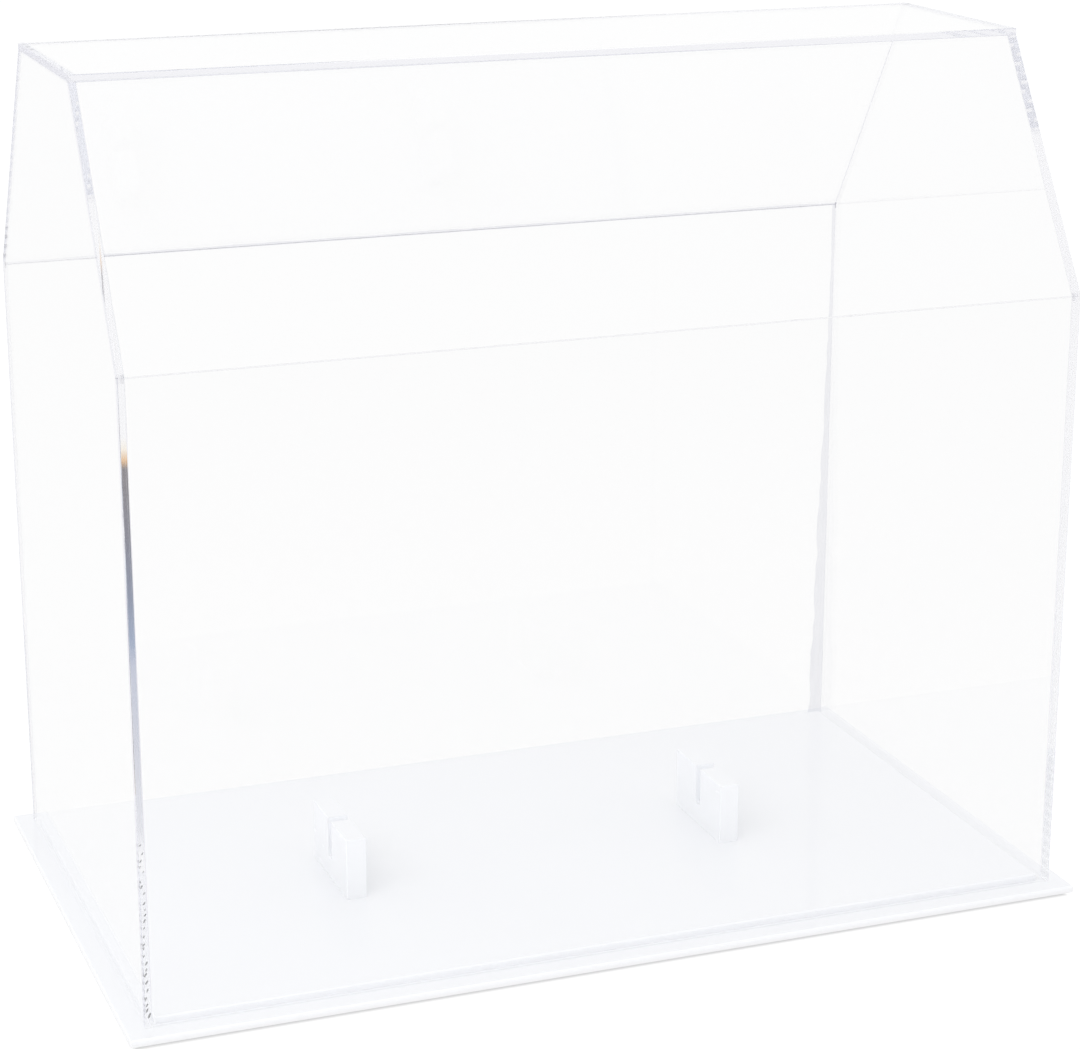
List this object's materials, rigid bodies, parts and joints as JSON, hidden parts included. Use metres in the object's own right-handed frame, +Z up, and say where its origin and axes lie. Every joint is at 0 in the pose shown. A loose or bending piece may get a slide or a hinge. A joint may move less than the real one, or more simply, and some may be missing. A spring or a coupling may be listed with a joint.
{
  "type": "acrylic display case",
  "caption": "Clear house-shaped display case whose cover lifts off a stepped white base with slotted blade supports.",
  "frame": {"origin": "on the shelf, under the middle of the base", "axes": "+X along the case's width to the heel support, -Y to the front, +Z up the way the cover lifts"},
  "size_m": [0.422, 0.244, 0.372],
  "materials": {
    "clear_acrylic": "polished clear sheet, faint cool tint in the edges",
    "white_acrylic": "polished opaque white sheet",
    "soft_bumper": "milky soft polyurethane"
  },
  "bodies": {
    "base": {"base_plate": "white_acrylic", "raised_plate": "white_acrylic", "toe_blade_support": "white_acrylic", "heel_blade_support": "white_acrylic", "front_left_foot": "soft_bumper", "front_right_foot": "soft_bumper", "back_left_foot": "soft_bumper", "back_right_foot": "soft_bumper"},
    "cover": {"front_panel": "clear_acrylic", "back_panel": "clear_acrylic", "left_end_panel": "clear_acrylic", "right_end_panel": "clear_acrylic", "front_slope_panel": "clear_acrylic", "back_slope_panel": "clear_acrylic", "top_panel": "clear_acrylic"}
  },
  "joints": [
    {"name": "cover_lift", "type": "slide", "parent": "base", "child": "cover", "axis": [0, 0, 1], "range_m": [0, 0.37]}
  ]
}
